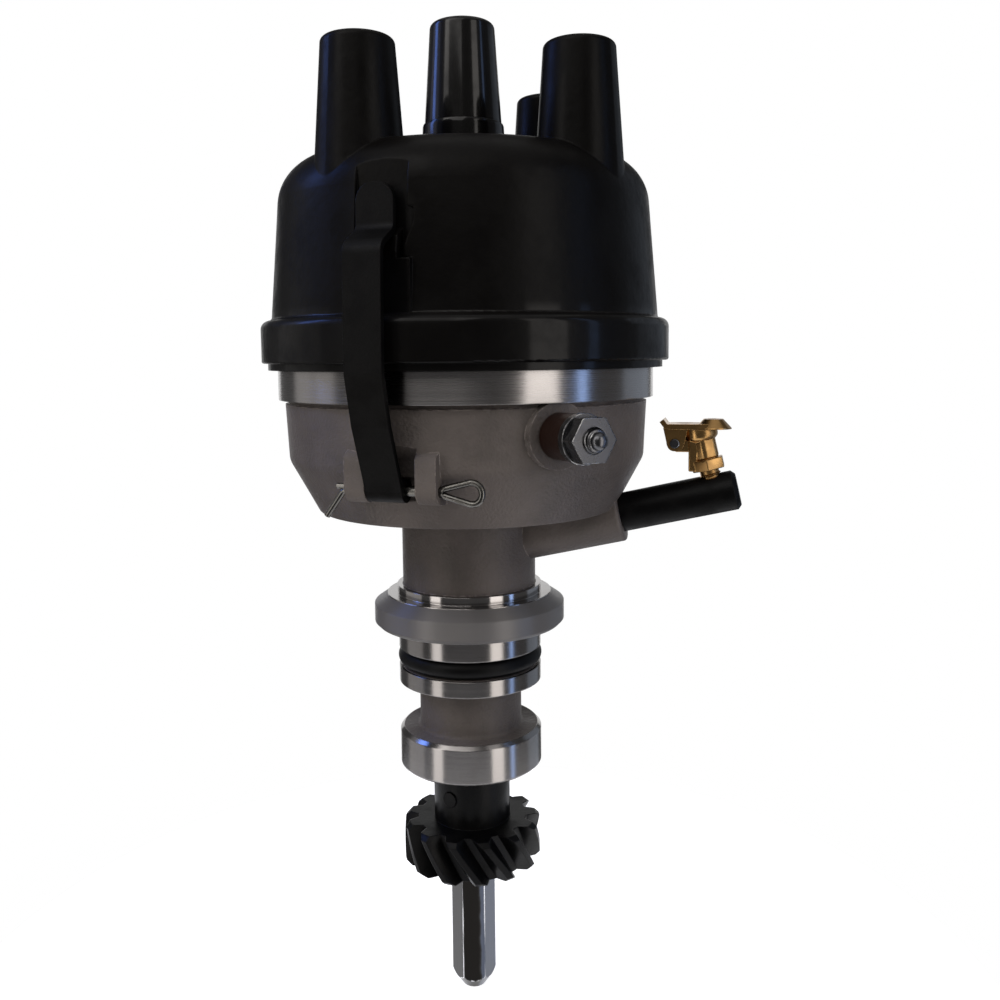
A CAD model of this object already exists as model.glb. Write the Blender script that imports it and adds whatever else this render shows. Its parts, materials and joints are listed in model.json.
"""Dresses the ignition distributor: finishes for every solid, fine pieces and the studio."""

from __future__ import annotations

import json
import logging
import math
from contextlib import contextmanager
from dataclasses import dataclass
from enum import Enum
from typing import Iterable, Iterator, Sequence

import bpy
from mathutils import Matrix, Vector

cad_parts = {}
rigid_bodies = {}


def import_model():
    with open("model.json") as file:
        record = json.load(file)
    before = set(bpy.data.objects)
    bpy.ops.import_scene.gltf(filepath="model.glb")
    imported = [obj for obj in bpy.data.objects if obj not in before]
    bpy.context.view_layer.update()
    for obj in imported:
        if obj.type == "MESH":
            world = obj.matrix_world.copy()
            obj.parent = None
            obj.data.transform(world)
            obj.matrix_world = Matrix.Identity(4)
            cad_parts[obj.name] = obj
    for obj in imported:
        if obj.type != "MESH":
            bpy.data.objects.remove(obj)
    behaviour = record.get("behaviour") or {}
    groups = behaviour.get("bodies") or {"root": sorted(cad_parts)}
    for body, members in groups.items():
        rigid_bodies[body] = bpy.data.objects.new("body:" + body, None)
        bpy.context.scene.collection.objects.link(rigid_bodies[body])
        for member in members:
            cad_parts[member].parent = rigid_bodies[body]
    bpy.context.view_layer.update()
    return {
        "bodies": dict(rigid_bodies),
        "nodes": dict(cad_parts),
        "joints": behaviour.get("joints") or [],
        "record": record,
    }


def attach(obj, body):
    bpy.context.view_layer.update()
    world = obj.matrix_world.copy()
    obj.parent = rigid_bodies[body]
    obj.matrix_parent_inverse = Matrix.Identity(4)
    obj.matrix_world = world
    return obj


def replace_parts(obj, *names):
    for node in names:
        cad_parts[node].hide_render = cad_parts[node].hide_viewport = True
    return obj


LOG = logging.getLogger("distributor")
MM = 0.001
QUARTER_TURN = 0.25
SMOOTH_BELOW_DEG = 35.0
Colour = tuple[float, float, float]
Link = bpy.types.NodeSocket
Node = bpy.types.Node
Tree = bpy.types.NodeTree
Material = bpy.types.Material
Piece = bpy.types.Object


# ------------------------------------------------------------------------------ node helpers
class MathKind(Enum):
    """Math operations that the finishes use."""

    ADD = "ADD"
    SUBTRACT = "SUBTRACT"
    MULTIPLY = "MULTIPLY"
    MAXIMUM = "MAXIMUM"
    GREATER = "GREATER_THAN"
    LESS = "LESS_THAN"
    ATAN2 = "ARCTAN2"
    SQRT = "SQRT"


class Graph:
    """A node tree with short calls for adding and joining nodes."""

    def __init__(self, tree: Tree) -> None:
        """Wraps a tree.

        Args:
            tree: the material's or the group's node tree.
        """
        self.tree = tree

    def add(self, kind: str, **values: object) -> Node:
        """Adds a node and sets its properties.

        Args:
            kind: the node's Blender type.
            values: properties of the node.

        Returns:
            The new node.
        """
        node = self.tree.nodes.new(kind)
        for key, value in values.items():
            setattr(node, key, value)
        return node

    def feed(self, node: Node, key: str | int, value: object) -> None:
        """Links an input of a node to a socket, or sets its constant.

        Args:
            node: the node.
            key: the input's name or number.
            value: an output socket or a constant.
        """
        if isinstance(value, Link):
            self.tree.links.new(value, node.inputs[key])
        else:
            node.inputs[key].default_value = value

    def math(self, kind: MathKind, a: object, b: object = 0.0, clamp: bool = False) -> Link:
        """Adds a Math node and returns its output.

        Args:
            kind: the operation.
            a: first operand.
            b: second operand.
            clamp: whether the result stays between 0 and 1.
        """
        node = self.add("ShaderNodeMath", operation=kind.value, use_clamp=clamp)
        self.feed(node, 0, a)
        self.feed(node, 1, b)
        return node.outputs[0]

    def times(self, a: object, b: object) -> Link:
        """Multiplies two numbers and returns the result."""
        return self.math(MathKind.MULTIPLY, a, b)

    def plus(self, a: object, b: object) -> Link:
        """Adds two numbers and returns the result."""
        return self.math(MathKind.ADD, a, b)

    def larger(self, a: object, b: object) -> Link:
        """Returns the larger of two numbers."""
        return self.math(MathKind.MAXIMUM, a, b)

    def rest_of(self, share: object) -> Link:
        """Returns what is left of 1 after a share."""
        return self.math(MathKind.SUBTRACT, 1.0, share)

    def mix(self, factor: object, a: object, b: object) -> Link:
        """Mixes two colours and returns the result.

        Args:
            factor: share of the second colour.
            a: first colour.
            b: second colour.
        """
        node = self.add("ShaderNodeMix", data_type="RGBA")
        self.feed(node, 0, factor)
        self.feed(node, 6, rgba(a))
        self.feed(node, 7, rgba(b))
        return node.outputs[2]

    def lerp(self, factor: object, a: object, b: object) -> Link:
        """Mixes two numbers and returns the result."""
        node = self.add("ShaderNodeMix", data_type="FLOAT")
        self.feed(node, 0, factor)
        self.feed(node, 2, a)
        self.feed(node, 3, b)
        return node.outputs[0]

    def noise(self, vector: object, scale: float, detail: float = 4.0, rough: float = 0.55) -> Link:
        """Adds a noise texture and returns its value.

        Args:
            vector: where it is read.
            scale: cells per metre.
            detail: octaves.
            rough: how much the fine octaves count.
        """
        node = self.add("ShaderNodeTexNoise")
        self.feed(node, "Vector", vector)
        self.feed(node, "Scale", scale)
        self.feed(node, "Detail", detail)
        self.feed(node, "Roughness", rough)
        return node.outputs["Fac"]

    def ramp(self, value: object, low: float, high: float) -> Link:
        """Stretches a value so that low gives 0 and high gives 1, clamped."""
        node = self.add("ShaderNodeMapRange", clamp=True, interpolation_type="SMOOTHSTEP")
        self.feed(node, 0, value)
        self.feed(node, 1, low)
        self.feed(node, 2, high)
        return node.outputs[0]

    def patches(self, vector: object, scale: float, low: float, high: float, detail: float = 5.0,
                rough: float = 0.55) -> Link:
        """Returns soft-edged patches of noise, 0 between them and 1 inside.

        Args:
            vector: where the noise is read.
            scale: cells per metre.
            low: noise value at the outer edge of a patch.
            high: noise value from which a patch is full.
            detail: octaves.
            rough: how much the fine octaves count.
        """
        return self.ramp(self.noise(vector, scale, detail, rough), low, high)

    def place(self) -> Link:
        """Returns the point in the object's own space, in metres."""
        return self.add("ShaderNodeTexCoord").outputs["Object"]

    def stretch(self, vector: Link, scale: Sequence[float]) -> Link:
        """Returns a vector scaled along each axis."""
        node = self.add("ShaderNodeMapping")
        self.feed(node, "Vector", vector)
        self.feed(node, "Scale", scale)
        return node.outputs["Vector"]


def rgba(value: object) -> object:
    """Gives a colour its fourth number; sockets and numbers pass through."""
    if isinstance(value, tuple) and len(value) == 3:
        return (*value, 1.0)
    return value


def shade(colour: Colour, factor: float) -> Colour:
    """Returns a colour made lighter or darker by a factor."""
    return tuple(channel * factor for channel in colour)


def new_material(name: str) -> tuple[Material, Graph, Node]:
    """Makes a material with nodes.

    Args:
        name: the material's name.

    Returns:
        The material, its graph and its Principled shader.
    """
    material = bpy.data.materials.new(name)
    material.use_nodes = True
    return material, Graph(material.node_tree), material.node_tree.nodes["Principled BSDF"]


class Groups:
    """Shader groups that several finishes share, each built once."""

    def __init__(self) -> None:
        """Builds the groups."""
        self.cylinder = self._cylinder()
        self.grain = self._grain()
        self.lathe = self._lathe()
        self.wear = self._wear()
        self.dust = self._dust()

    @staticmethod
    def _new(name: str, ins: dict[str, float | None], outs: Iterable[str]) -> tuple[Graph, Node, Node]:
        """Makes an empty group.

        Args:
            name: the group's name.
            ins: the inputs: a number's default, or None for a vector.
            outs: names of the outputs, all of them numbers.

        Returns:
            The graph, its input node and its output node.
        """
        tree = bpy.data.node_groups.new(name, "ShaderNodeTree")
        for label, default in ins.items():
            kind = "NodeSocketVector" if default is None else "NodeSocketFloat"
            socket = tree.interface.new_socket(label, in_out="INPUT", socket_type=kind)
            if default is not None:
                socket.default_value = default
        for label in outs:
            tree.interface.new_socket(label, in_out="OUTPUT", socket_type="NodeSocketFloat")
        graph = Graph(tree)
        return graph, graph.add("NodeGroupInput"), graph.add("NodeGroupOutput")

    def _cylinder(self) -> Tree:
        """Radius from the shaft axis and height, in millimetres, from a point in metres."""
        graph, source, sink = self._new("shaft_coordinates", {"Vector": None},
                                        ("Radius", "Height", "Angle"))
        split = graph.add("ShaderNodeSeparateXYZ")
        graph.feed(split, 0, source.outputs[0])
        xx = graph.times(split.outputs[0], split.outputs[0])
        yy = graph.times(split.outputs[1], split.outputs[1])
        radius = graph.math(MathKind.SQRT, graph.plus(xx, yy))
        graph.feed(sink, 0, graph.times(radius, 1.0 / MM))
        graph.feed(sink, 1, graph.times(split.outputs[2], 1.0 / MM))
        graph.feed(sink, 2, graph.math(MathKind.ATAN2, split.outputs[1], split.outputs[0]))
        return graph.tree

    def _grain(self) -> Tree:
        """Cast or moulded grain: a height and a slow tone from a point."""
        graph, source, sink = self._new("surface_grain", {"Vector": None, "Fine": 900.0, "Coarse": 90.0},
                                        ("Height", "Tone"))
        fine = graph.add("ShaderNodeTexNoise")
        graph.feed(fine, "Detail", 5.0)
        graph.feed(fine, "Vector", source.outputs[0])
        graph.feed(fine, "Scale", source.outputs[1])
        coarse = graph.add("ShaderNodeTexNoise")
        graph.feed(coarse, "Detail", 6.0)
        graph.feed(coarse, "Roughness", 0.62)
        graph.feed(coarse, "Vector", source.outputs[0])
        graph.feed(coarse, "Scale", source.outputs[2])
        both = graph.lerp(0.35, fine.outputs["Fac"], coarse.outputs["Fac"])
        graph.feed(sink, 0, both)
        graph.feed(sink, 1, graph.ramp(coarse.outputs["Fac"], 0.3, 0.7))
        return graph.tree

    def _lathe(self) -> Tree:
        """Turning marks round an axis: a height and a tone from radius and height."""
        graph, source, sink = self._new(
            "lathe_marks", {"Radius": 0.0, "Height": 0.0, "Angle": 0.0, "Density": 6.0},
            ("Height", "Tone"))
        along = graph.plus(source.outputs[0], source.outputs[1])
        place = graph.add("ShaderNodeCombineXYZ")
        graph.feed(place, 0, graph.times(along, source.outputs[3]))
        graph.feed(place, 1, graph.times(source.outputs[2], 0.6))
        fine = graph.noise(place.outputs[0], 1.6, 3.0)
        slow = graph.noise(place.outputs[0], 0.22, 2.0)
        graph.feed(sink, 0, fine)
        graph.feed(sink, 1, graph.ramp(graph.lerp(0.5, fine, slow), 0.36, 0.64))
        return graph.tree

    def _wear(self) -> Tree:
        """Worn edges: 1 where a rounded normal leaves the flat one, broken up by noise."""
        graph, source, sink = self._new("edge_wear", {"Vector": None, "Rounded": None, "Amount": 1.0},
                                        ("Mask",))
        flat = graph.add("ShaderNodeNewGeometry")
        dot = graph.add("ShaderNodeVectorMath", operation="DOT_PRODUCT")
        graph.feed(dot, 0, flat.outputs["Normal"])
        graph.feed(dot, 1, source.outputs[1])
        edge = graph.math(MathKind.SUBTRACT, 1.0, dot.outputs["Value"], True)
        edge = graph.ramp(graph.times(edge, source.outputs[2]), 0.01, 0.16)
        chips = graph.patches(source.outputs[0], 700.0, 0.42, 0.6)
        graph.feed(sink, 0, graph.times(edge, chips))
        return graph.tree

    def _dust(self) -> Tree:
        """Fine dust on faces that look up, in specks and patches."""
        graph, source, sink = self._new("settled_dust", {"Vector": None, "Amount": 0.3}, ("Mask",))
        split = graph.add("ShaderNodeSeparateXYZ")
        graph.feed(split, 0, graph.add("ShaderNodeNewGeometry").outputs["Normal"])
        up = graph.ramp(split.outputs[2], 0.1, 0.95)
        settled = graph.patches(source.outputs[0], 60.0, 0.4, 0.75, 6.0)
        specks = graph.patches(source.outputs[0], 2600.0, 0.62, 0.72, 2.0)
        both = graph.math(MathKind.ADD, graph.times(up, settled), graph.times(specks, 0.35), True)
        graph.feed(sink, 0, graph.math(MathKind.MULTIPLY, both, source.outputs[1], True))
        return graph.tree

    @staticmethod
    def use(graph: Graph, tree: Tree, **values: object) -> Node:
        """Places a group in a material and feeds its inputs by name.

        Args:
            graph: the material's graph.
            tree: the group.
            values: input names, lower case, and what feeds them.

        Returns:
            The group's node.
        """
        node = graph.add("ShaderNodeGroup", node_tree=tree)
        for key, value in values.items():
            graph.feed(node, key.capitalize(), value)
        return node


# ----------------------------------------------------------------------------------- finishes
@dataclass(frozen=True)
class Finish:
    """What every finish holds: its name and base values."""

    name: str
    colour: Colour
    rough: float = 0.5
    metal: float = 0.0
    gloss: float = 0.5

    def start(self) -> tuple[Material, Graph, Node]:
        """Makes the material with its shader.

        Returns:
            The material, its graph and its Principled shader.
        """
        material, graph, shader = new_material(self.name)
        graph.feed(shader, "Base Color", (*self.colour, 1.0))
        graph.feed(shader, "Roughness", self.rough)
        graph.feed(shader, "Metallic", self.metal)
        graph.feed(shader, "Specular IOR Level", self.gloss)
        return material, graph, shader

    def bump(self, graph: Graph, shader: Node, height: Link, depth: float,
             normal: object = None) -> None:
        """Feeds a height to the shader's normal.

        Args:
            graph: the material's graph.
            shader: the Principled shader.
            height: the height, 0 to 1.
            depth: metres of relief.
            normal: a normal to start from.
        """
        node = graph.add("ShaderNodeBump")
        graph.feed(node, "Strength", 1.0)
        graph.feed(node, "Distance", depth)
        graph.feed(node, "Height", height)
        if normal is not None:
            graph.feed(node, "Normal", normal)
        graph.feed(shader, "Normal", node.outputs[0])

    def rounded(self, graph: Graph, radius: float) -> Link:
        """Returns a normal with small rounded edges."""
        node = graph.add("ShaderNodeBevel", samples=6)
        graph.feed(node, "Radius", radius)
        return node.outputs[0]

    def build(self, groups: Groups) -> Material:
        """Builds the material.

        Args:
            groups: the shared groups.
        """
        raise NotImplementedError


@dataclass(frozen=True)
class Band:
    """Turned band of the casting: its heights and radii in mm, and its look."""

    low: float
    high: float
    inner: float
    outer: float
    shine: float
    rough: float
    bare: float = 1.0

    def mask(self, graph: Graph, radius: Link, height: Link) -> Link:
        """Returns 1 inside the band and 0 outside it.

        Args:
            graph: the material's graph.
            radius: distance from the shaft's axis in mm.
            height: height in mm.
        """
        inside = graph.math(MathKind.GREATER, height, self.low)
        inside = graph.times(inside, graph.math(MathKind.LESS, height, self.high))
        inside = graph.times(inside, graph.math(MathKind.GREATER, radius, self.inner))
        return graph.times(inside, graph.math(MathKind.LESS, radius, self.outer))


@dataclass(frozen=True)
class CastAluminium(Finish):
    """Dull sand-grey casting with bright turned bands at set heights and radii."""

    bright: Colour = (0.30, 0.287, 0.282)
    stain: Colour = (0.13, 0.115, 0.105)
    bands: tuple[Band, ...] = ()
    turned_stretch: float = 0.9
    wear: float = 2.2

    def build(self, groups: Groups) -> Material:
        """Builds the casting and masks the turned bands by radius and height."""
        material, graph, shader = self.start()
        point = graph.place()
        polar = groups.use(graph, groups.cylinder, vector=point)
        radius, height, angle = polar.outputs
        mask: object = 0.0
        shine: object = 0.0
        satin: object = 0.0
        metal: object = 0.0
        graph.feed(shader, "Anisotropic", self.turned_stretch)
        graph.feed(shader, "Anisotropic Rotation", QUARTER_TURN)
        for band in self.bands:
            inside = band.mask(graph, radius, height)
            mask = graph.larger(mask, inside)
            shine = graph.larger(shine, graph.times(inside, band.shine))
            satin = graph.larger(satin, graph.times(inside, band.rough))
            metal = graph.larger(metal, graph.times(inside, band.bare))
        grain = groups.use(graph, groups.grain, vector=point, fine=1500.0, coarse=170.0)
        blotch = graph.patches(point, 48.0, 0.35, 0.68, rough=0.6)
        cast = graph.mix(blotch, shade(self.colour, 0.78), shade(self.colour, 1.16))
        cast = graph.mix(graph.times(grain.outputs[1], 0.35), cast, shade(self.colour, 1.5))
        lathe = groups.use(graph, groups.lathe, radius=radius, height=height, angle=angle, density=22.0)
        turned = graph.mix(lathe.outputs[1], shade(self.bright, 0.9), self.bright)
        stained = graph.patches(graph.stretch(point, (1, 1, 0.4)), 75.0, 0.5, 0.78)
        turned = graph.mix(graph.times(stained, 0.45), turned, self.stain)
        dulled = graph.mix(shine, shade(self.bright, 0.36), turned)
        rounded = self.rounded(graph, 0.00035)
        worn = groups.use(graph, groups.wear, vector=point, rounded=rounded, amount=self.wear)
        cast = graph.mix(worn.outputs[0], cast, shade(self.colour, 2.6))
        graph.feed(shader, "Base Color", graph.mix(mask, cast, dulled))
        graph.feed(shader, "Metallic", graph.lerp(mask, self.metal, metal))
        rough_cast = graph.lerp(grain.outputs[1], self.rough, self.rough + 0.14)
        rough_turned = graph.plus(satin, graph.times(lathe.outputs[1], 0.06))
        graph.feed(shader, "Roughness", graph.lerp(mask, rough_cast, rough_turned))
        relief = graph.lerp(mask, grain.outputs[0], graph.times(lathe.outputs[0], 0.004))
        self.bump(graph, shader, relief, 0.00036, rounded)
        return material


@dataclass(frozen=True)
class Moulding(Finish):
    """Phenolic moulding: gloss, faint flow marks and settled dust, polished where it says so."""

    dust: float = 0.25
    dust_colour: Colour = (0.12, 0.105, 0.09)
    orange_peel: float = 0.00006
    polish: float = 0.0
    polished_rough: float = 0.11

    @staticmethod
    def polished(graph: Graph, groups: Groups, point: Link) -> Link:
        """Returns how polished the cap is: fully on its centre tower and a third on its rim."""
        polar = groups.use(graph, groups.cylinder, vector=point)
        radius, height = polar.outputs[0], polar.outputs[1]
        tower = graph.times(graph.ramp(height, 101.0, 103.0), graph.rest_of(graph.ramp(radius, 9.0, 12.0)))
        rim = graph.rest_of(graph.ramp(height, 66.8, 69.0))
        return graph.larger(tower, graph.times(rim, 0.34))

    def build(self, groups: Groups) -> Material:
        """Builds the moulding."""
        material, graph, shader = self.start()
        point = graph.place()
        flow = graph.patches(graph.stretch(point, (1, 1, 0.35)), 42.0, 0.3, 0.75, rough=0.6)
        base = graph.mix(flow, self.colour, tuple(c * 1.7 + 0.0004 for c in self.colour))
        dusty = groups.use(graph, groups.dust, vector=point, amount=self.dust)
        graph.feed(shader, "Base Color", graph.mix(dusty.outputs[0], base, self.dust_colour))
        smear = graph.patches(point, 95.0, 0.42, 0.7, 6.0, 0.65)
        rough = graph.lerp(smear, self.rough, self.rough + 0.16)
        rough = graph.plus(rough, graph.times(dusty.outputs[0], 0.4))
        if self.polish:
            shine = graph.times(self.polished(graph, groups, point), graph.lerp(smear, 1.0, 0.55))
            graph.feed(shader, "Coat Weight", graph.times(shine, self.polish))
            graph.feed(shader, "Coat Roughness", self.polished_rough)
        graph.feed(shader, "Roughness", rough)
        peel = graph.noise(point, 420.0, 2.0)
        self.bump(graph, shader, peel, self.orange_peel, self.rounded(graph, 0.0005))
        return material


@dataclass(frozen=True)
class Plated(Finish):
    """Plated, oxidised or bare small metal with worn edges and dull patches."""

    worn: Colour = (0.5, 0.48, 0.45)
    wear: float = 1.0
    round_to: float = 0.0002
    patch: Colour = (0.2, 0.18, 0.16)
    patchy: float = 0.35
    relief: float = 0.00005
    patch_scale: float = 190.0

    def build(self, groups: Groups) -> Material:
        """Builds the plating."""
        material, graph, shader = self.start()
        point = graph.place()
        rounded = self.rounded(graph, self.round_to)
        worn = groups.use(graph, groups.wear, vector=point, rounded=rounded, amount=self.wear)
        patch = graph.patches(point, self.patch_scale, 0.42, 0.72, 3.0, 0.5)
        base = graph.mix(graph.times(patch, self.patchy), self.colour, self.patch)
        graph.feed(shader, "Base Color", graph.mix(worn.outputs[0], base, self.worn))
        rough = graph.lerp(patch, self.rough, self.rough + 0.18)
        graph.feed(shader, "Roughness", graph.lerp(worn.outputs[0], rough, 0.28))
        if self.metal < 0.9:
            graph.feed(shader, "Metallic", graph.lerp(worn.outputs[0], self.metal, 1.0))
        grain = groups.use(graph, groups.grain, vector=point, fine=2400.0, coarse=420.0)
        self.bump(graph, shader, grain.outputs[0], self.relief, rounded)
        return material


@dataclass(frozen=True)
class GroundSteel(Finish):
    """Bright ground metal with marks round the shaft's axis."""

    metal: float = 1.0
    stretch: float = 0.8

    def build(self, groups: Groups) -> Material:
        """Builds the ground metal."""
        material, graph, shader = self.start()
        graph.feed(shader, "Anisotropic", self.stretch)
        graph.feed(shader, "Anisotropic Rotation", QUARTER_TURN)
        point = graph.place()
        radius, height, angle = groups.use(graph, groups.cylinder, vector=point).outputs
        lathe = groups.use(graph, groups.lathe, radius=radius, height=height, angle=angle, density=9.0)
        smudge = graph.patches(point, 130.0, 0.45, 0.75)
        base = graph.mix(lathe.outputs[1], shade(self.colour, 0.7), self.colour)
        base = graph.mix(graph.times(smudge, 0.5), base, shade(self.colour, 0.45))
        graph.feed(shader, "Base Color", base)
        graph.feed(shader, "Roughness", graph.lerp(smudge, self.rough, self.rough + 0.12))
        self.bump(graph, shader, lathe.outputs[0], 0.00003, self.rounded(graph, 0.00025))
        return material


@dataclass(frozen=True)
class DrawnHexagon(Finish):
    """Drawn hexagon steel: bright worn corners, a dark run of oil between two angles in radians
    round the shaft, and a bluish side.
    """

    metal: float = 1.0
    corner: Colour = (0.95, 0.95, 0.97)
    oil: Colour = (0.010, 0.009, 0.008)
    cool: Colour = (0.082, 0.093, 0.122)
    oil_from: float = -2.15
    oil_to: float = -1.15

    def build(self, groups: Groups) -> Material:
        """Builds the drawn steel; the oil and the cool side go by the angle round the shaft."""
        material, graph, shader = self.start()
        point = graph.place()
        polar = groups.use(graph, groups.cylinder, vector=point)
        angle = graph.plus(polar.outputs[2],
                           graph.times(graph.noise(point, 260.0, 3.0), 0.25))
        run = graph.times(graph.ramp(angle, self.oil_from, self.oil_from + 0.2),
                          graph.rest_of(graph.ramp(angle, self.oil_to - 0.08, self.oil_to + 0.08)))
        side = graph.ramp(angle, self.oil_to, self.oil_to + 0.1)
        drawn = graph.noise(graph.stretch(point, (1.0, 1.0, 0.03)), 2600.0, 3.0)
        base = graph.mix(side, self.colour, self.cool)
        base = graph.mix(graph.times(run, 0.9), base, self.oil)
        base = graph.mix(graph.times(drawn, 0.35), base, self.oil)
        rounded = self.rounded(graph, 0.00035)
        worn = groups.use(graph, groups.wear, vector=graph.stretch(point, (1.0, 1.0, 0.08)),
                          rounded=rounded, amount=6.0)
        graph.feed(shader, "Base Color", graph.mix(worn.outputs[0], base, self.corner))
        graph.feed(shader, "Roughness", graph.lerp(drawn, self.rough, self.rough + 0.1))
        self.bump(graph, shader, drawn, 0.000005, rounded)
        return material


@dataclass(frozen=True)
class Soft(Finish):
    """Rubber, felt, carbon or woven sleeve with a fine grain."""

    fine: float = 1800.0
    depth: float = 0.00008
    tint: Colour = (0.06, 0.055, 0.05)

    def build(self, groups: Groups) -> Material:
        """Builds the soft or matt finish."""
        material, graph, shader = self.start()
        point = graph.place()
        grain = groups.use(graph, groups.grain, vector=point, fine=self.fine, coarse=self.fine / 9)
        base = graph.mix(graph.times(grain.outputs[1], 0.5), self.colour, self.tint)
        graph.feed(shader, "Base Color", base)
        graph.feed(shader, "Roughness", graph.lerp(grain.outputs[1], self.rough, self.rough + 0.15))
        self.bump(graph, shader, grain.outputs[0], self.depth)
        return material


CASTING_BANDS = (
    Band(-32.3, -23.55, 15.0, 16.2, shine=0.70, rough=0.20),
    Band(-13.0, -9.45, 15.3, 16.2, shine=0.60, rough=0.20),
    Band(-5.3, 0.0, 15.3, 16.2, shine=0.65, rough=0.20),
    Band(-0.05, 0.05, 15.3, 20.4, shine=0.5, rough=0.3),
    Band(0.05, 6.72, 18.0, 21.3, shine=0.15, rough=0.50, bare=0.35),
    Band(6.72, 8.75, 14.9, 18.4, shine=1.0, rough=0.10),
    Band(49.95, 56.3, 36.0, 40.6, shine=1.0, rough=0.25),
    Band(48.1, 56.3, 34.6, 36.8, shine=0.8, rough=0.3),
)

FINISHES: dict[str, Finish] = {
    "cast_aluminium": CastAluminium("cast_aluminium_turned_bands", (0.100, 0.086, 0.079), rough=0.56,
                                    metal=0.25, gloss=0.35, bands=CASTING_BANDS),
    "bronze": GroundSteel("sintered_bronze", (0.46, 0.30, 0.14), rough=0.38),
    "seal_rubber": Soft("seal_rubber", (0.0012, 0.0012, 0.0014), rough=0.42, gloss=0.10, fine=900.0,
                        depth=0.00003, tint=(0.0026, 0.0026, 0.0026)),
    "black_tube": Plated("black_tube", (0.0011, 0.0011, 0.0012), rough=0.42, gloss=0.09,
                         worn=(0.03, 0.027, 0.025), wear=0.5, round_to=0.0003,
                         patch=(0.0035, 0.003, 0.003), patchy=0.5),
    "brass": Plated("machined_brass", (0.38, 0.225, 0.085), rough=0.22, metal=1.0,
                    worn=(0.66, 0.46, 0.22), wear=0.3, round_to=0.00012, patch=(0.10, 0.052, 0.022),
                    relief=0.000006),
    "brown_insulator": Moulding("brown_phenolic", (0.0085, 0.0030, 0.0017), rough=0.42, gloss=0.18,
                                dust=0.02, orange_peel=0.0001),
    "zinc_steel": Plated("zinc_plate", (0.085, 0.086, 0.092), rough=0.26, metal=1.0,
                         worn=(0.50, 0.50, 0.50), wear=0.9, round_to=0.0003, patch=(0.06, 0.058, 0.06),
                         patchy=0.4, relief=0.000003),
    "copper_spring": Plated("copper_spring_strip", (0.45, 0.21, 0.11), rough=0.3, metal=1.0,
                            worn=(0.7, 0.4, 0.24)),
    "black_moulding": Moulding("matt_black_moulding", (0.006, 0.0055, 0.005), rough=0.42, gloss=0.3,
                               dust=0.05, orange_peel=0.0001),
    "lead_sheath": Soft("woven_sleeve", (0.02, 0.02, 0.022), rough=0.7, gloss=0.4, fine=1400.0,
                        depth=0.0002),
    "bright_steel": GroundSteel("ground_steel", (0.30, 0.29, 0.28), rough=0.22),
    "black_gear": Plated("oiled_black_oxide", (0.0009, 0.0009, 0.0011), rough=0.34, gloss=0.10,
                         worn=(0.008, 0.0078, 0.008), wear=0.6, round_to=0.0003,
                         patch=(0.0024, 0.0022, 0.002), patchy=0.6),
    "felt": Soft("oiled_felt", (0.28, 0.24, 0.18), rough=0.95, gloss=0.3, fine=1100.0, depth=0.0004,
                 tint=(0.36, 0.32, 0.25)),
    "cap_moulding": Moulding("gloss_phenolic", (0.0015, 0.0013, 0.0012), rough=0.34, gloss=0.06,
                             dust=0.02, polish=0.42),
    "electrode_aluminium": GroundSteel("turned_electrode", (0.6, 0.6, 0.6), rough=0.3),
    "carbon": Soft("pressed_carbon", (0.02, 0.02, 0.022), rough=0.5, gloss=0.4, fine=2200.0,
                   depth=0.00006),
    "black_spring_steel": Plated("japanned_spring_steel", (0.0010, 0.0009, 0.0009), rough=0.44,
                                 gloss=0.08, worn=(0.008, 0.0075, 0.007), wear=0.5,
                                 patch=(0.0020, 0.0018, 0.0017), patchy=0.6),
    "drawn_hexagon": DrawnHexagon("drawn_hexagon", (0.036, 0.035, 0.034), rough=0.15),
    "dark_pin": GroundSteel("oiled_pin", (0.003, 0.0028, 0.0028), rough=0.34, metal=0.5, gloss=0.2),
    "dull_pin": Plated("dull_split_pin", (0.11, 0.107, 0.10), rough=0.22, metal=1.0,
                       worn=(0.36, 0.35, 0.33), wear=0.6, patch=(0.04, 0.036, 0.03), patchy=0.5,
                       relief=0.00002),
}


class Palette:
    """Builds each finish once and hands it out by name."""

    def __init__(self) -> None:
        """Builds the shared groups."""
        self.groups = Groups()
        self._made: dict[str, Material] = {}

    def get(self, name: str) -> Material:
        """Returns the material of a finish.

        Args:
            name: key in FINISHES.
        """
        if name not in self._made:
            self._made[name] = FINISHES[name].build(self.groups)
        return self._made[name]

    def dress(self, piece: Piece, name: str) -> None:
        """Gives a piece one finish."""
        piece.data.materials.clear()
        piece.data.materials.append(self.get(name))


# ------------------------------------------------------------------------------- shared tools
def select_none() -> None:
    """Deselects everything, in object mode."""
    if bpy.context.object and bpy.context.object.mode != "OBJECT":
        bpy.ops.object.mode_set(mode="OBJECT")
    bpy.ops.object.select_all(action="DESELECT")


def pick(*pieces: Piece) -> None:
    """Selects these pieces alone and makes the first one active."""
    select_none()
    for piece in pieces:
        piece.select_set(True)
    bpy.context.view_layer.objects.active = pieces[0]


@contextmanager
def editing(select: str | None = None) -> Iterator[None]:
    """Works on the active piece in edit mode and leaves it in object mode.

    Args:
        select: what happens to the selection first, SELECT or DESELECT; by default it is kept.
    """
    bpy.ops.object.mode_set(mode="EDIT")
    if select:
        bpy.ops.mesh.select_all(action=select)
    yield
    bpy.ops.object.mode_set(mode="OBJECT")


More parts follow.
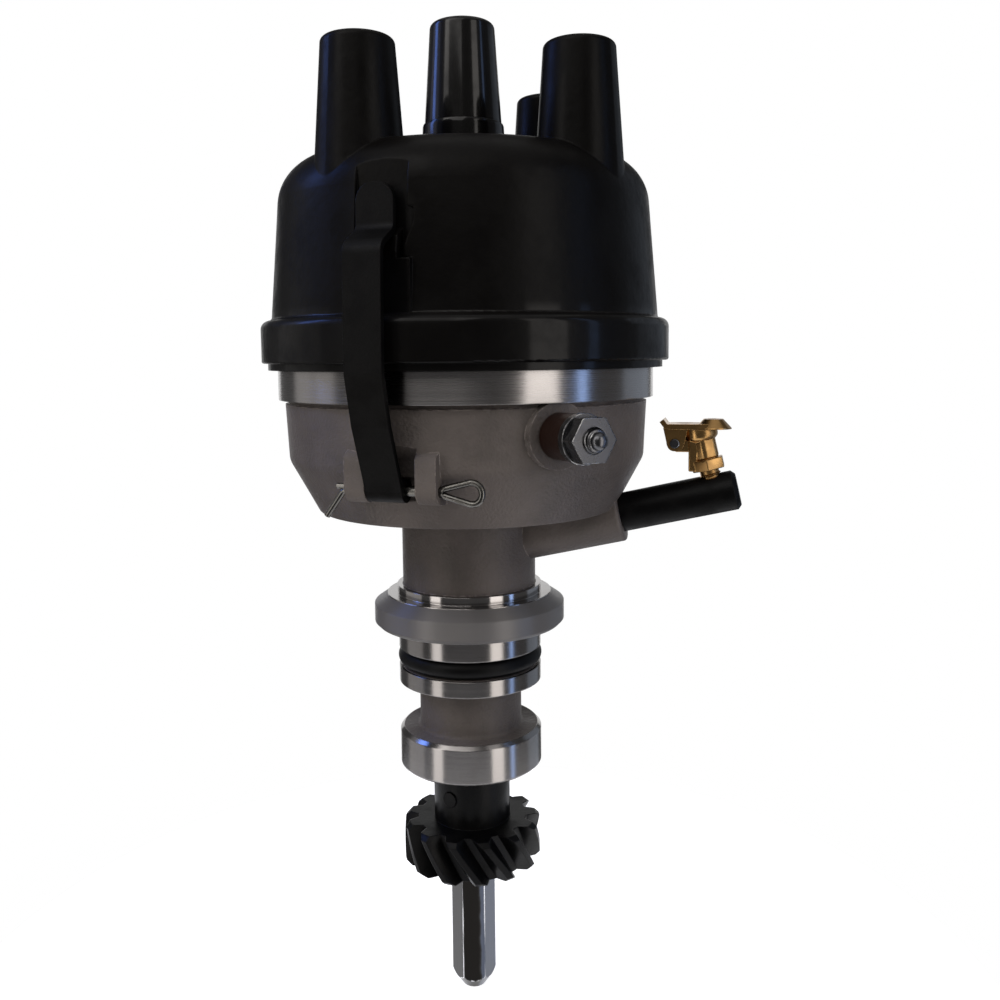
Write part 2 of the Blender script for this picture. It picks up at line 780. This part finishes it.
def settle(piece: Piece) -> Piece:
    """Applies a piece's place, merges doubles, turns faces outwards and smooths it.

    Args:
        piece: the new piece.

    Returns:
        The same piece.
    """
    pick(piece)
    bpy.ops.object.transform_apply(location=True, rotation=True, scale=True)
    with editing("SELECT"):
        bpy.ops.mesh.remove_doubles(threshold=0.001 * MM)
        bpy.ops.mesh.normals_make_consistent(inside=False)
    bpy.ops.object.shade_smooth_by_angle(angle=math.radians(SMOOTH_BELOW_DEG))
    return piece


def finish_piece(piece: Piece, name: str, body: str, slot: str, palette: Palette,
                 finish: str | None = None) -> Piece:
    """Names a settled piece, gives it a body, a slot and a finish.

    Args:
        piece: the settled piece.
        name: its name.
        body: the body it moves with.
        slot: the record's material slot.
        palette: the finishes.
        finish: a finish other than the slot's own.

    Returns:
        The same piece.
    """
    piece.name = name
    piece.data.name = name
    palette.dress(piece, finish or slot)
    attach(piece, body)
    LOG.info("%s rides on %s", name, body)
    return piece


def turned_form(rings: Sequence[tuple[float, float]], sides: int = 64, turn: float = 0.0,
                flats: bool = False) -> Piece:
    """Turns a form on the Z axis: a circle is extruded ring by ring and resized.

    Args:
        rings: radius and height of each ring in mm, from one end to the other.
        sides: corners of each ring.
        turn: degrees that the ring's first corner is turned.
        flats: whether the radius is measured to the flats.

    Returns:
        The closed form in metres, unplaced.
    """
    to_corners = MM / (math.cos(math.pi / sides) if flats else 1.0)
    select_none()
    bpy.ops.mesh.primitive_circle_add(vertices=sides, radius=rings[0][0] * to_corners, fill_type="NGON",
                                      location=(0, 0, rings[0][1] * MM),
                                      rotation=(0, 0, math.radians(turn)))
    piece = bpy.context.object
    with editing():
        for (radius, height), (before, under) in zip(rings[1:], rings):
            bpy.ops.mesh.extrude_region_move(
                TRANSFORM_OT_translate={"value": (0, 0, (height - under) * MM)})
            bpy.ops.transform.resize(value=(radius / before, radius / before, 1.0),
                                     center_override=(0, 0, height * MM))
    return piece


def thread_form(radius: float, pitch: float, low: float, high: float, depth: float,
                sunk: float = 0.15, steps: int = 32) -> Piece:
    """Winds a triangular thread ridge round the Z axis.

    Args:
        radius: core radius in mm.
        pitch: millimetres a turn.
        low: where the thread starts.
        high: where it ends.
        depth: how far the ridge stands proud of the core.
        sunk: how far its foot lies inside the core.
        steps: sections of each turn.

    Returns:
        The closed ridge.
    """
    across, half_foot = depth + sunk, 0.48 * pitch
    centre = ((radius - sunk + across / 3) * MM, 0.0, low * MM)
    select_none()
    bpy.ops.mesh.primitive_circle_add(vertices=3, radius=MM, fill_type="NOTHING", location=centre,
                                      rotation=(-math.pi / 2, -math.pi / 2, 0))
    piece = bpy.context.object
    with editing("SELECT"):
        bpy.ops.transform.resize(value=(across / 1.5, 1.0, half_foot / math.sin(math.pi / 3)),
                                 center_override=centre)
    bpy.ops.object.transform_apply(location=True, rotation=True, scale=True)
    wind = piece.modifiers.new("wind", "SCREW")
    wind.axis, wind.screw_offset = "Z", pitch * MM
    wind.iterations = max(1, int((high - low) / pitch))
    wind.steps = wind.render_steps = steps
    wind.use_smooth_shade = False
    bpy.ops.object.modifier_apply(modifier="wind")
    with editing("DESELECT"):
        bpy.ops.mesh.select_non_manifold()
        bpy.ops.mesh.fill_holes(sides=0)
    return piece


def block_form(low: Sequence[float], high: Sequence[float], round_to: float) -> Piece:
    """Cuts a block between two corners and rounds its edges.

    Args:
        low: lowest corner in mm.
        high: highest corner in mm.
        round_to: edge radius in mm.

    Returns:
        The block.
    """
    select_none()
    bpy.ops.mesh.primitive_cube_add(size=1.0, location=[(a + b) / 2 * MM for a, b in zip(low, high)],
                                    scale=[(b - a) * MM for a, b in zip(low, high)])
    piece = bpy.context.object
    bpy.ops.object.transform_apply(location=True, rotation=True, scale=True)
    soften(piece, round_to)
    return piece


def soften(piece: Piece, round_to: float, segments: int = 3, above_deg: float = 30.0) -> None:
    """Rounds a piece's sharp edges with an applied bevel.

    Args:
        piece: the piece.
        round_to: radius in mm.
        segments: faces across the bevel.
        above_deg: edges sharper than this are rounded.
    """
    pick(piece)
    bevel = piece.modifiers.new("soften", "BEVEL")
    bevel.width, bevel.segments = round_to * MM, segments
    bevel.limit_method, bevel.angle_limit = "ANGLE", math.radians(above_deg)
    bpy.ops.object.modifier_apply(modifier="soften")


def place_forms(forms: Sequence[Piece], frame: Matrix) -> Piece:
    """Joins forms and puts them where a frame says.

    Args:
        forms: forms at the origin.
        frame: their place.

    Returns:
        The joined object.
    """
    pick(*forms)
    if len(forms) > 1:
        bpy.ops.object.join()
    forms[0].matrix_world = frame @ forms[0].matrix_world
    return settle(forms[0])


def turned_to(azimuth: float) -> Matrix:
    """Returns the turn about the shaft axis from the front to an azimuth in degrees."""
    return Matrix.Rotation(math.radians(azimuth), 4, "Z")


@dataclass
class PrimaryTerminal:
    """Threaded stud of the primary terminal, in millimetres along its axis."""

    azimuth: float = 25.2
    height: float = 43.9
    head: tuple[float, float] = (30.9, 32.4)
    head_half: float = 3.3
    core: float = 2.05
    thread: tuple[float, float] = (46.2, 52.7)
    pitch: float = 0.75
    thread_depth: float = 0.33
    shank_end: float = 53.0
    tip: float = 54.75

    def frame(self) -> Matrix:
        """Returns the place of a form whose Z axis is the stud's."""
        out = Matrix.Translation((0, 0, self.height * MM)) @ Matrix.Rotation(math.pi / 2, 4, "X")
        return turned_to(self.azimuth) @ out

    def build(self, palette: Palette) -> None:
        """Builds the stud: square head, threaded shank and stepped round tip."""
        (low, high), half, end = self.head, self.head_half, self.shank_end
        head = block_form((-half, -half, low), (half, half, high), 0.5)
        shank = turned_form(((self.core, high - 0.3), (self.core, end - 0.1), (1.9, end),
                             (1.62, end + 0.02), (1.58, end + 0.7), (1.52, end + 0.9), (1.25, end + 1.35),
                             (0.85, end + 1.62), (0.4, self.tip)), 48)
        thread = thread_form(self.core, self.pitch, *self.thread, self.thread_depth)
        piece = place_forms((shank, head, thread), self.frame())
        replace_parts(finish_piece(piece, "stud_threaded", "housing_body", "zinc_steel", palette),
                    "terminal_stud")


@dataclass
class Oiler:
    """Brass body of the spring-lid oiler, in millimetres; the cup's own heights run along its axis."""

    azimuth: float = 75.0
    radius: float = 53.45
    height: float = 29.5
    lean: float = 12.8
    hinge: tuple[float, float] = (45.3, 40.2)
    lid_under: float = 43.12
    neck_radius: float = 2.0
    neck: tuple[float, float] = (1.6, 5.4)
    nut_half_flats: float = 3.25
    nut: tuple[float, float] = (5.3, 7.6)
    barrel_half_flats: float = 2.62
    barrel_heights: tuple[float, float] = (7.4, 12.2)
    arm_half: float = 1.2
    leg_half: float = 2.2
    leg_back: float = 48.1
    leg_front: float = 50.0
    knuckle_radius: float = 1.9

    def cup_frame(self) -> Matrix:
        """Returns the place of a form whose Z axis is the cup's."""
        tilt = Matrix.Rotation(math.radians(-self.lean), 4, "X")
        return Matrix.Translation((0, -self.radius * MM, self.height * MM)) @ tilt

    def level_top(self, piece: Piece) -> None:
        """Cuts a piece level just under the lid.

        Args:
            piece: the piece, placed.
        """
        pick(piece)
        with editing("SELECT"):
            bpy.ops.mesh.bisect(plane_co=(0, 0, self.lid_under * MM), plane_no=(0, 0, 1), use_fill=True,
                                clear_outer=True)

    @staticmethod
    def hexagon(half_flats: float, heights: Sequence[float], round_to: float,
                segments: int) -> Piece:
        """Builds a hexagon with rounded edges.

        Args:
            half_flats: half the size across flats.
            heights: where it starts and ends.
            round_to: radius of its edges.
            segments: faces across a rounded edge.

        Returns:
            The hexagon, with corners to both sides.
        """
        form = turned_form([(half_flats, height) for height in heights], 6, 30.0, True)
        soften(form, round_to, segments, 40.0)
        return form

    def knuckle(self) -> Piece:
        """Builds the round end of the arm, across the hinge."""
        wide, narrow, (reach, rise) = self.knuckle_radius, self.knuckle_radius - 0.35, self.hinge
        knuckle = turned_form(((narrow, -1.2), (wide, -1.0), (wide, 1.0), (narrow, 1.2)), 40)
        knuckle.matrix_world = (Matrix.Translation((0, -reach * MM, rise * MM))
                                @ Matrix.Rotation(math.pi / 2, 4, "Y"))
        return knuckle

    def cup(self) -> Piece:
        """Builds the upright part: fluted barrel, flared mouth, threaded neck and nut."""
        barrel = self.hexagon(self.barrel_half_flats, self.barrel_heights, 0.75, 5)
        mouth = turned_form(((2.5, 11.4), (2.9, 11.7), (3.3, 12.1), (3.45, 12.6), (3.45, 14.6)), 64)
        neck = turned_form([(self.neck_radius, height) for height in self.neck], 40)
        thread = thread_form(self.neck_radius, 0.8, 2.2, 5.2, 0.28)
        nut = self.hexagon(self.nut_half_flats, self.nut, 0.2, 3)
        cup = place_forms((barrel, mouth, neck, thread, nut), self.cup_frame())
        self.level_top(cup)
        return cup

    def build(self, palette: Palette) -> None:
        """Builds the body: cup, hinge arm and leg."""
        cup = self.cup()
        (reach, rise), back, front = self.hinge, self.leg_back, self.leg_front
        slim, wide = self.arm_half, self.leg_half
        arm = block_form((-slim, -front, rise - self.knuckle_radius), (slim, -reach, 42.0), 0.25)
        leg = block_form((-wide, -front, 34.3), (wide, -back, 41.0), 0.3)
        crown = block_form((-wide, -front - 1.0, 40.6), (wide, -back, self.lid_under), 0.35)
        piece = place_forms((cup, arm, leg, crown, self.knuckle()), turned_to(self.azimuth))
        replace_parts(finish_piece(piece, "oiler_body_fluted", "housing_body", "brass", palette),
                    "oiler_body")


@dataclass
class CapTrim:
    """Moulded bead round the foot of the cap's centre tower, in millimetres."""

    rings: tuple[tuple[float, float], ...] = (
        (8.3, 103.3), (8.86, 103.4), (8.72, 107.0), (8.68, 107.5), (8.55, 107.85), (8.3, 108.0),
        (7.9, 108.0),
    )

    def build(self, palette: Palette) -> None:
        """Builds the bead."""
        piece = settle(turned_form(self.rings, 96))
        finish_piece(piece, "centre_tower_bead", "cap_body", "cap_moulding", palette)


@dataclass(frozen=True)
class Lamp:
    """Soft rectangular lamp that faces a point, in metres; a radiance of 1 is white."""

    name: str
    place: tuple[float, float, float]
    target: tuple[float, float, float]
    size: tuple[float, float]
    radiance: float
    tint: Colour

    def hang(self) -> None:
        """Adds the lamp, out of the camera's sight."""
        width, height = self.size
        data = bpy.data.lights.new(self.name, "AREA")
        data.shape, data.size, data.size_y = "RECTANGLE", width, height
        data.color, data.energy = self.tint, self.radiance * math.pi * width * height
        lamp = bpy.data.objects.new(self.name, data)
        bpy.context.scene.collection.objects.link(lamp)
        lamp.visible_camera = False
        facing = (Vector(self.target) - Vector(self.place)).to_track_quat("-Z", "Y")
        lamp.matrix_world = Matrix.Translation(self.place) @ facing.to_matrix().to_4x4()


def strip(name: str, azimuth: float, distance: float, width: float, radiance: float, tint: Colour,
          height: float = 0.80, middle: float = 0.02) -> Lamp:
    """Returns an upright strip lamp that stands beyond the floor's edge.

    Args:
        name: the lamp's name.
        azimuth: degrees from the camera's side towards +X.
        distance: metres from the shaft.
        width: metres.
        radiance: how bright its face is, where white is 1.
        tint: its colour.
        height: metres.
        middle: height of its middle.
    """
    turn = math.radians(azimuth)
    place = (distance * math.sin(turn), -distance * math.cos(turn), middle)
    return Lamp(name, place, (0.0, 0.0, middle), (width, height), radiance, tint)


@dataclass
class Studio:
    """Floor, backdrop, lights and camera."""

    aim_yaw: float = 1.88
    aim_pitch: float = 5.5
    roll: float = 0.58
    place: tuple[float, float, float] = (0.0, -0.2181, 0.059)
    lens: float = 35.64
    shift_y: float = -0.05
    room: float = 0.10
    room_tint: Colour = (1.0, 0.98, 0.97)
    floor_z: float = -0.0862
    floor_radius: float = 0.12
    floor_glow: float = 0.90
    floor_albedo: float = 0.75
    card_radius: float = 1.3
    card_colour: Colour = (0.02, 0.02, 0.02)
    card_open_from: float = 0.86
    lamps: tuple[Lamp, ...] = (
        Lamp("overhead", (0.0, -0.10, 0.95), (0.0, 0.0, 0.03), (1.2, 1.2), 0.6, (1.0, 0.985, 0.97)),
        Lamp("softbox", (-0.28, -0.46, 0.60), (0.0, 0.0, 0.02), (0.75, 0.45), 2.4, (1.0, 0.97, 0.94)),
        strip("front_right", 42.0, 0.42, 0.15, 3.0, (1.0, 0.95, 0.90)),
        strip("front_left", -54.0, 0.34, 0.10, 2.6, (1.0, 0.96, 0.92)),
        strip("window_right", 68.0, 0.42, 0.045, 3.0, (0.36, 0.55, 1.0)),
        strip("left_wall", -100.0, 0.60, 0.42, 0.50, (1.0, 0.97, 0.94)),
        strip("right_wall", 122.0, 0.60, 0.40, 0.35, (0.70, 0.82, 1.0)),
        Lamp("high_window", (-0.49, 0.09, 0.36), (0.0, 0.0, 0.11), (0.11, 0.22), 9.0, (0.15, 0.30, 1.0)),
    )

    def camera(self) -> None:
        """Places the camera at the viewing angle."""
        data = bpy.data.cameras.new("camera")
        data.lens, data.sensor_width, data.shift_y = self.lens, 36.0, self.shift_y
        data.clip_start, data.clip_end = 0.01, 20.0
        camera = bpy.data.objects.new("camera", data)
        bpy.context.scene.collection.objects.link(camera)
        yaw, pitch, roll = (math.radians(v) for v in (self.aim_yaw, self.aim_pitch, self.roll))
        ahead = Vector((math.sin(yaw) * math.cos(pitch), math.cos(yaw) * math.cos(pitch), -math.sin(pitch)))
        right = Vector((math.cos(yaw), -math.sin(yaw), 0.0))
        up = right.cross(ahead)
        tilted_right = right * math.cos(roll) - up * math.sin(roll)
        tilted_up = up * math.cos(roll) + right * math.sin(roll)
        turn = Matrix((tilted_right, tilted_up, -ahead)).transposed().to_4x4()
        camera.matrix_world = Matrix.Translation(self.place) @ turn
        bpy.context.scene.camera = camera

    def world(self) -> None:
        """Sets a dim room whose background the camera, metal and glass see as white."""
        world = bpy.data.worlds.new("studio")
        world.use_nodes = True
        bpy.context.scene.world = world
        graph = Graph(world.node_tree)
        world.node_tree.nodes.clear()
        room = graph.add("ShaderNodeBackground")
        graph.feed(room, "Color", rgba(self.room_tint))
        graph.feed(room, "Strength", self.room)
        white = graph.add("ShaderNodeBackground")
        graph.feed(white, "Color", (1.0, 1.0, 1.0, 1.0))
        graph.feed(white, "Strength", 1.0)
        blend = graph.add("ShaderNodeMixShader")
        graph.feed(blend, 0, self.seen_directly(graph))
        graph.feed(blend, 1, room.outputs[0])
        graph.feed(blend, 2, white.outputs[0])
        sink = graph.add("ShaderNodeOutputWorld")
        graph.feed(sink, 0, blend.outputs[0])

    @staticmethod
    def seen_directly(graph: Graph) -> Link:
        """Returns 1 for camera, glossy and transmission rays."""
        path = graph.add("ShaderNodeLightPath")
        seen = graph.larger(path.outputs["Is Camera Ray"], path.outputs["Is Glossy Ray"])
        return graph.larger(seen, path.outputs["Is Transmission Ray"])

    def cards(self) -> None:
        """Stands dark studio cards round the part, out of the camera's sight, open at the back."""
        select_none()
        bpy.ops.mesh.primitive_uv_sphere_add(segments=48, ring_count=24, radius=self.card_radius)
        cards = bpy.context.object
        cards.name = "studio_cards"
        for part in (*cards.data.vertices, *cards.data.edges):
            part.select = False
        for face in cards.data.polygons:
            face.select = face.center.y > self.card_open_from * self.card_radius
        with editing():
            bpy.ops.mesh.delete(type="FACE")
        cards.visible_camera = cards.visible_diffuse = cards.visible_shadow = False
        material, graph, shader = new_material("card_grey")
        graph.feed(shader, "Base Color", rgba(self.card_colour))
        graph.feed(shader, "Emission Color", rgba(self.room_tint))
        graph.feed(shader, "Emission Strength", self.room)
        cards.data.materials.append(material)

    def pale_floor(self) -> Material:
        """Makes a matt white that the camera, metal and glass see as white.

        Returns:
            The material.
        """
        material, graph, shader = new_material("pale_floor")
        material.node_tree.nodes.remove(shader)
        matt = graph.add("ShaderNodeBsdfDiffuse")
        graph.feed(matt, "Color", rgba((self.floor_albedo,) * 3))
        white = graph.add("ShaderNodeEmission")
        graph.feed(white, "Strength", graph.times(self.seen_directly(graph), self.floor_glow))
        both = graph.add("ShaderNodeAddShader")
        graph.feed(both, 0, matt.outputs[0])
        graph.feed(both, 1, white.outputs[0])
        graph.feed(material.node_tree.nodes["Material Output"], 0, both.outputs[0])
        return material

    def floor(self) -> None:
        """Adds the pale floor below the part."""
        select_none()
        bpy.ops.mesh.primitive_circle_add(vertices=96, radius=self.floor_radius, fill_type="NGON",
                                          location=(0, 0, self.floor_z))
        floor = bpy.context.object
        floor.name = "floor"
        floor.data.materials.append(self.pale_floor())

    def build(self) -> None:
        """Builds the studio."""
        self.camera()
        for lamp in self.lamps:
            lamp.hang()
        self.world()
        self.floor()
        self.cards()
        bpy.context.scene.view_settings.view_transform = "Standard"


@dataclass
class CadFinishes:
    """Dresses every CAD node with its slot's finish."""

    special: tuple[tuple[str, str], ...] = (
        ("drive_shaft", "drawn_hexagon"), ("gear_pin", "dark_pin"), ("clip_split_pins", "dull_pin"),
        ("oiler_hinge_pin", "zinc_steel"),
    )

    def dress(self, frame: dict, palette: Palette) -> None:
        """Assigns the materials.

        Args:
            palette: the finishes.
        """
        slots = {part["node"]: part["material_slot"] for part in frame["record"]["subparts"]}
        slots.update(dict(self.special))
        for node, piece in frame["nodes"].items():
            palette.dress(piece, slots[node])
        LOG.info("%d solids dressed", len(frame["nodes"]))


def main() -> None:
    """Builds the dressed distributor."""
    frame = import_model()
    select_none()
    palette = Palette()
    CadFinishes().dress(frame, palette)
    PrimaryTerminal().build(palette)
    Oiler().build(palette)
    CapTrim().build(palette)
    Studio().build()


if __name__ == "__main__":
    logging.basicConfig(level=logging.INFO, format="%(message)s")
    main()
